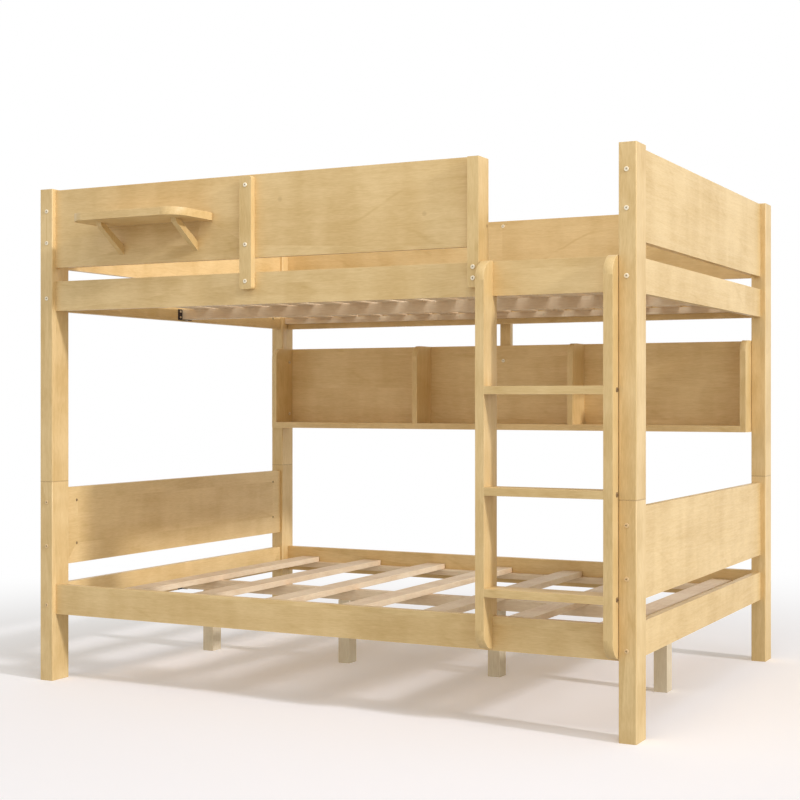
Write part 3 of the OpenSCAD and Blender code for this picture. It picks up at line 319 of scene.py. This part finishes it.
def wood(name, grain, light, dark, rough=0.46, ring_pitch=0.016, shift=0.0, knots=(),
         figure_line=None, joint=None):
    """Planed softwood with its fibres along one axis of the bed."""
    material, t, shader = new_material(name)
    place = t.new("ShaderNodeTexCoord").outputs["Object"]
    parts = t.new("ShaderNodeSeparateXYZ", {0: place}).outputs
    order = GRAIN_ORDER[grain]
    chance_object = t.new("ShaderNodeObjectInfo").outputs["Random"]
    chance_island = t.new("ShaderNodeNewGeometry").outputs["Random Per Island"]
    chance = t.math("ADD", t.math("ADD", chance_object, chance_island), shift)
    along = t.math("MULTIPLY_ADD", chance, CHANCE_ALONG, parts[order[0]])
    side_a = t.math("MULTIPLY_ADD", chance, CHANCE_SIDE_A, parts[order[1]])
    side_b = t.math("MULTIPLY_ADD", chance, CHANCE_SIDE_B, parts[order[2]])
    grain_place = t.new("ShaderNodeCombineXYZ", {0: along, 1: side_a, 2: side_b}).outputs[0]

    # Rings and slanting figure, both broken by noise
    bend = t.swing(grain_place, BEND_WAVES, 2.0)
    sway = t.swing(grain_place, SWAY_WAVES, 1.0)
    ripple = t.swing(grain_place, RIPPLE_WAVES, 3.0)
    broken = t.noise(grain_place, BREAK_WAVES)
    late = growth_rings(t, parts, order, chance, (bend, sway, ripple), ring_pitch)
    late = t.math("MULTIPLY", late, t.spread(broken, *RING_BREAK))
    figure = slanting_figure(t, along, side_b, sway, ripple)
    figure = t.math("MULTIPLY", figure, t.spread(broken, *FIGURE_BREAK))

    # Fibres in three widths, short dashes, soft clouds and bands across the grain
    wide = t.noise(grain_place, WIDE_FIBRES, detail=3.0, roughness=0.6)
    middle = t.noise(grain_place, MIDDLE_FIBRES, detail=3.0, roughness=0.6)
    fine = t.noise(grain_place, FINE_FIBRES)
    streak = t.math("MULTIPLY_ADD", middle, MIDDLE_SHARE, t.math("MULTIPLY", fine, FINE_SHARE))
    streak = t.math("MULTIPLY_ADD", wide, WIDE_SHARE, streak)
    streak = t.spread(streak, *FIBRE_RANGE, smooth=False)
    dash = t.noise(grain_place, DASH_WAVES, roughness=0.6)
    dash = t.spread(dash, *FIBRE_RANGE, smooth=False)
    cloud = t.noise(grain_place, CLOUD_WAVES, detail=4.0, roughness=0.6)
    cloud = t.spread(cloud, *CLOUD_RANGE)
    curl = t.spread(t.noise(grain_place, CURL_WAVES), *CURL_RANGE)

    # Small faint knots, far apart
    cell_place = t.vector("MULTIPLY", grain_place, KNOT_CELLS)
    cell = t.new("ShaderNodeTexVoronoi", {"Vector": cell_place, "Scale": 1.0},
                 voronoi_dimensions="3D", feature="F1").outputs["Distance"]
    knot = t.spread(cell, *KNOT_RANGE)
    halo = t.spread(cell, *HALO_RANGE)

    shade = t.math("MULTIPLY", late, RING_DEPTH)
    for trait, depth in ((figure, FIGURE_DEPTH), (streak, STREAK_DEPTH), (dash, DASH_DEPTH),
                         (cloud, CLOUD_DEPTH), (curl, CURL_DEPTH), (halo, HALO_DEPTH)):
        shade = t.math("MULTIPLY_ADD", trait, depth, shade)
    colour = t.mix(t.math("MINIMUM", shade, 1.0), light, dark)
    knot_colour = tuple(c * k for c, k in zip(dark[:3], KNOT_TONE)) + (1.0,)
    colour = t.mix(t.math("MULTIPLY", knot, KNOT_DEPTH), colour, knot_colour)
    if figure_line:
        colour = t.mix(climbing_line(t, parts, ripple, broken, figure_line), colour, dark)
    # Painted shade: a dark line along the seam between the posts' halves
    if joint:
        line = t.apart(parts["Z"], joint)
        line = t.spread(line, JOINT_HALF_WIDTH, JOINT_CORE, 0.0, JOINT_DEPTH)
        colour = t.mix(line, colour, knot_colour)
    for spot, size, depth in knots:
        away = t.vector("DISTANCE", place, spot, "Value")
        away = t.math("MULTIPLY_ADD", ripple, size, away)
        colour = t.mix(t.spread(away, size, size * KNOT_CORE, 0.0, depth), colour, knot_colour)

    # A warmer or paler cast from piece to piece
    cast = t.math("FRACT", t.math("MULTIPLY", chance, CHANCE_CAST))
    colour = t.mix(t.math("MULTIPLY", cast, CAST_DEPTH), colour, CAST_COLOUR, "MULTIPLY")

    # End grain takes more finish and looks darker
    normal = t.new("ShaderNodeTexCoord").outputs["Normal"]
    facing = t.new("ShaderNodeSeparateXYZ", {0: normal}).outputs[order[0]]
    end_grain = t.spread(t.math("ABSOLUTE", facing), *END_GRAIN_RANGE)
    colour = t.mix(t.math("MULTIPLY", end_grain, END_GRAIN_DEPTH), colour, dark)

    # Rubbed arrises are a little paler, and crevices and joints are darkened with painted shade
    open_air = t.open_air(WOOD_CREVICE)
    soft_normal = t.new("ShaderNodeBevel", {"Radius": RUBBED_RADIUS}, samples=4).outputs[0]
    true_normal = t.new("ShaderNodeNewGeometry").outputs["True Normal"]
    agree = t.vector("DOT_PRODUCT", soft_normal, true_normal, "Value")
    worn = t.spread(agree, *RUBBED_RANGE)
    worn = t.math("MULTIPLY", worn, t.spread(wide, *RUBBED_PATCHES))
    worn = t.math("MULTIPLY", worn, t.spread(open_air, *RUBBED_OPEN))
    pale = tuple(min(1.0, c * RUBBED_TONE) for c in light[:3]) + (1.0,)
    colour = t.mix(worn, colour, pale)
    # Painted shade: darker where ambient occlusion finds a crevice or joint
    painted_crevice_shade = t.spread(open_air, *CREVICE_SHADE_RANGE)
    colour = t.mix(t.math("MULTIPLY", painted_crevice_shade, CREVICE_SHADE_DEPTH), colour, CREVICE_SHADE_COLOUR, "MULTIPLY")

    roughness = t.math("MULTIPLY_ADD", streak, STREAK_ROUGH, rough - STREAK_ROUGH / 2)
    roughness = t.math("MULTIPLY_ADD", late, LATE_ROUGH, roughness)
    height = t.math("MULTIPLY_ADD", dash, DASH_HEIGHT, t.math("MULTIPLY", streak, STREAK_HEIGHT))
    height = t.math("MULTIPLY_ADD", late, LATE_HEIGHT, height)
    bump = t.new("ShaderNodeBump", {**WOOD_BUMP, "Height": height})
    t.feed(shader.inputs["Base Color"], colour)
    t.feed(shader.inputs["Roughness"], roughness)
    t.feed(shader.inputs["Normal"], bump.outputs[0])
    shader.inputs["IOR"].default_value = WOOD_IOR
    return material


def metal(name, light, dark, rough, metallic=1.0, low=None):
    """Plated or painted steel with fine scratches; low is the tone of heads below the joint, a
    painted shade.
    """
    material, t, shader = new_material(name)
    place = t.new("ShaderNodeTexCoord").outputs["Object"]
    cloud = t.noise(place, scale=METAL_CLOUDS, detail=3.0)
    scratch = t.noise(place, METAL_SCRATCHES)
    tone = t.math("MULTIPLY_ADD", scratch, SCRATCH_SHARE, t.math("MULTIPLY", cloud, CLOUD_SHARE))
    colour = t.mix(t.spread(tone, *METAL_RANGE), light, dark)
    # Painted shade: heads below the posts' joint, under the upper bed, take the darker wood-toned
    # low colour
    if low:
        height = t.new("ShaderNodeSeparateXYZ", {0: place}).outputs["Z"]
        below = t.spread(height, POST_JOINT_Z + HEAD_STEP, POST_JOINT_Z - HEAD_STEP)
        colour = t.mix(below, colour, low)
    # Painted shade: darker where ambient occlusion finds a crevice round the piece
    painted_metal_shade = t.spread(t.open_air(METAL_CREVICE), *METAL_SHADE_RANGE)
    colour = t.mix(painted_metal_shade, colour, METAL_CREVICE_SHADE, "MULTIPLY")
    roughness = t.spread(tone, *METAL_RANGE, rough - METAL_POLISH, rough + METAL_DULL)
    t.feed(shader.inputs["Base Color"], colour)
    t.feed(shader.inputs["Roughness"], roughness)
    shader.inputs["Metallic"].default_value = metallic
    bump = t.new("ShaderNodeBump", {**METAL_BUMP, "Height": scratch})
    t.feed(shader.inputs["Normal"], bump.outputs[0])
    return material


BOARD_LIGHT, BOARD_DARK = srgb(240, 212, 157), srgb(204, 170, 108)
TRIM_LIGHT, TRIM_DARK = srgb(237, 209, 153), srgb(203, 170, 108)
SLAT_LIGHT, SLAT_DARK = srgb(248, 231, 201), srgb(213, 183, 145)
LEG_LIGHT, LEG_DARK = srgb(236, 224, 196), srgb(202, 182, 147)
DOWEL_LIGHT, DOWEL_DARK = srgb(232, 204, 158), srgb(196, 158, 108)

board_x = wood("board_along_length", "x", BOARD_LIGHT, BOARD_DARK, knots=GUARD_KNOTS,
               figure_line=GUARD_FIGURE)
board_y = wood("board_across_bed", "y", BOARD_LIGHT, BOARD_DARK, shift=0.37)
post_z = wood("post_upright", "z", BOARD_LIGHT, BOARD_DARK, shift=0.61, ring_pitch=0.011,
              joint=POST_JOINT_Z)
trim_z = wood("trim_upright", "z", TRIM_LIGHT, TRIM_DARK, shift=0.13, ring_pitch=0.010,
              knots=UPRIGHT_KNOTS)
trim_x = wood("trim_along_length", "x", TRIM_LIGHT, TRIM_DARK, shift=0.83, ring_pitch=0.010)
slat_y = wood("slat_across_bed", "y", SLAT_LIGHT, SLAT_DARK, shift=0.29, ring_pitch=0.012,
              rough=0.55)
slat_x = wood("slat_along_length", "x", SLAT_LIGHT, SLAT_DARK, shift=0.47, ring_pitch=0.012,
              rough=0.55)
leg_z = wood("leg_upright", "z", LEG_LIGHT, LEG_DARK, shift=0.71, ring_pitch=0.012, rough=0.55)
dowel_x = wood("dowel_along_length", "x", DOWEL_LIGHT, DOWEL_DARK, shift=0.53)
# Heads below the posts' joint get a darker, wood-toned colour as painted shade
head_steel = metal("head_steel", srgb(255, 246, 222), srgb(236, 220, 186), 0.36, metallic=0.1,
                   low=srgb(228, 198, 148))
bright_steel = metal("bright_steel", srgb(238, 222, 190), srgb(206, 186, 150), 0.40, metallic=0.3)
nut_steel = metal("nut_steel", srgb(160, 132, 94), srgb(104, 82, 54), 0.46, metallic=0.3)
plate_steel = metal("plate_steel", srgb(186, 184, 178), srgb(142, 140, 134), 0.38)
black_metal = metal("black_metal", srgb(52, 40, 46), srgb(28, 20, 26), 0.46, metallic=0.2)
METALS = (head_steel, bright_steel, nut_steel, plate_steel, black_metal)

# Finish of each piece; the posts not named here take post_z, all other pieces board_x
FINISH = {
    "left_end_lower_rail": board_y, "right_end_lower_rail": board_y,
    "left_end_upper_rail": board_y, "right_end_upper_rail": board_y,
    "left_end_lower_panel": board_y, "right_end_lower_panel": board_y,
    "left_end_upper_panel": board_y, "right_end_upper_panel": board_y,
    "front_lower_ledger": slat_x, "rear_lower_ledger": slat_x,
    "front_upper_ledger": slat_x, "rear_upper_ledger": slat_x,
    "lower_centre_beam": slat_x, "upper_centre_beam": slat_x,
    "lower_slats": slat_y, "upper_slats": slat_y, "centre_legs": leg_z,
    "front_guard_strip": trim_z, "rear_centre_strip": trim_z, "guard_end_upright": trim_z,
    "small_shelf_left_brace": trim_z, "small_shelf_right_brace": trim_z,
    "ladder_left_stile": trim_z, "ladder_right_stile": trim_z,
    "ladder_bottom_rung": trim_x, "ladder_middle_rung": trim_x, "ladder_top_rung": trim_x,
    "bookshelf_left_end": trim_z, "bookshelf_right_end": trim_z,
    "bookshelf_left_divider": trim_z, "bookshelf_right_divider": trim_z,
    "wood_dowels": dowel_x,
    "post_bolts": head_steel, "cross_nuts": nut_steel, "connector_bolts": head_steel,
    "sleeve_nuts": head_steel, "rung_bolts": nut_steel, "ladder_bolts": bright_steel,
    "bookshelf_bolts": bright_steel, "wood_screws": bright_steel,
    "rail_hook_plates": plate_steel, "post_slot_plates": plate_steel, "beam_hangers": black_metal,
}

for name, part in nodes.items():
    finish = FINISH.get(name, post_z if "_post_" in name else board_x)
    part.data.materials.clear()
    part.data.materials.append(finish)
    weld = part.modifiers.new("weld", "WELD")
    weld.merge_threshold = WELD_REACH
    flat = part.modifiers.new("flat", "DECIMATE")
    flat.decimate_type = "DISSOLVE"
    flat.angle_limit = FLAT_ANGLE
    edge = part.modifiers.new("edge", "BEVEL")
    edge.width = METAL_ARRIS if finish in METALS else WOOD_ARRIS
    edge.segments = ARRIS_SEGMENTS
    edge.limit_method = "ANGLE"
    edge.angle_limit = ARRIS_ANGLE
    edge.harden_normals = True

# Floor that fades into the white background
floor_corners = [(-FLOOR_REACH, -FLOOR_REACH, 0), (FLOOR_REACH, -FLOOR_REACH, 0),
                 (FLOOR_REACH, FLOOR_REACH, 0), (-FLOOR_REACH, FLOOR_REACH, 0)]
floor_mesh = bpy.data.meshes.new("floor")
floor_mesh.from_pydata(floor_corners, [], [(0, 1, 2, 3)])
floor = bpy.data.objects.new("floor", floor_mesh)
scene.collection.objects.link(floor)
floor_material = bpy.data.materials.new("floor")
floor_material.use_nodes = True
floor_material.node_tree.nodes.clear()
t = Tree(floor_material.node_tree)
seen = t.new("ShaderNodeLightPath").outputs["Is Camera Ray"]
glint = t.new("ShaderNodeLightPath").outputs["Is Glossy Ray"]
plain = t.new("ShaderNodeBsdfDiffuse", {"Color": t.mix(seen, FLOOR_BOUNCE, FLOOR_COLOUR)})
glow = t.spread(seen, 0.0, 1.0, FLOOR_GLOW, 0.0, smooth=False)
lift = t.new("ShaderNodeEmission", {"Color": FLOOR_GLOW_COLOUR, "Strength": glow})
near = t.new("ShaderNodeAddShader", {0: plain.outputs[0], 1: lift.outputs[0]})
white = t.new("ShaderNodeEmission", {"Color": WHITE, "Strength": 1.0})
ground = t.new("ShaderNodeTexCoord").outputs["Object"]
fade = t.vector("DISTANCE", ground, FLOOR_FADE_CENTRE, "Value")
fade = t.spread(fade, FLOOR_FADE_START, FLOOR_FADE_END)
fade = t.math("MULTIPLY", fade, t.math("MAXIMUM", seen, glint))
shown = t.new("ShaderNodeMixShader", {0: fade, 1: near.outputs[0], 2: white.outputs[0]})
t.new("ShaderNodeOutputMaterial", {"Surface": shown.outputs[0]})
floor_mesh.materials.append(floor_material)

# World: a soft even sky for the object, white for the eye and for gloss
world = bpy.data.worlds.new("sky")
scene.world = world
world.use_nodes = True
world.node_tree.nodes.clear()
t = Tree(world.node_tree)
path = t.new("ShaderNodeLightPath").outputs
direct = t.math("MAXIMUM", path["Is Camera Ray"], path["Is Glossy Ray"])
direct = t.math("MAXIMUM", direct, path["Is Transmission Ray"])
heading = t.new("ShaderNodeTexCoord").outputs["Generated"]
height = t.new("ShaderNodeSeparateXYZ", {0: heading}).outputs["Z"]
strength = t.spread(height, 0.0, 1.0, SKY_HORIZON, SKY_ZENITH)
soft = t.new("ShaderNodeBackground", {"Color": SKY_COLOUR, "Strength": strength})
bright = t.new("ShaderNodeBackground", {"Color": WHITE, "Strength": 1.0})
sky = t.new("ShaderNodeMixShader", {0: direct, 1: soft.outputs[0], 2: bright.outputs[0]})
t.new("ShaderNodeOutputWorld", {"Surface": sky.outputs[0]})


def add_light(name, kind, place, travel, strength, colour):
    """Lamp at a place whose light travels along a vector."""
    data = bpy.data.lights.new(name, kind)
    data.energy = strength
    data.color = colour
    light = bpy.data.objects.new(name, data)
    light.location = place
    light.rotation_euler = travel.to_track_quat("-Z", "Y").to_euler()
    scene.collection.objects.link(light)
    return data


key_data = add_light("key", "SUN", KEY_PLACE, KEY_TRAVEL, KEY_STRENGTH, KEY_COLOUR)
key_data.angle = KEY_SOFTNESS
lamp_data = add_light("top_lamp", "AREA", LAMP_PLACE, LAMP_AIM - Vector(LAMP_PLACE), LAMP_POWER,
                      LAMP_COLOUR)
lamp_data.shape = "DISK"
lamp_data.size = LAMP_WIDTH
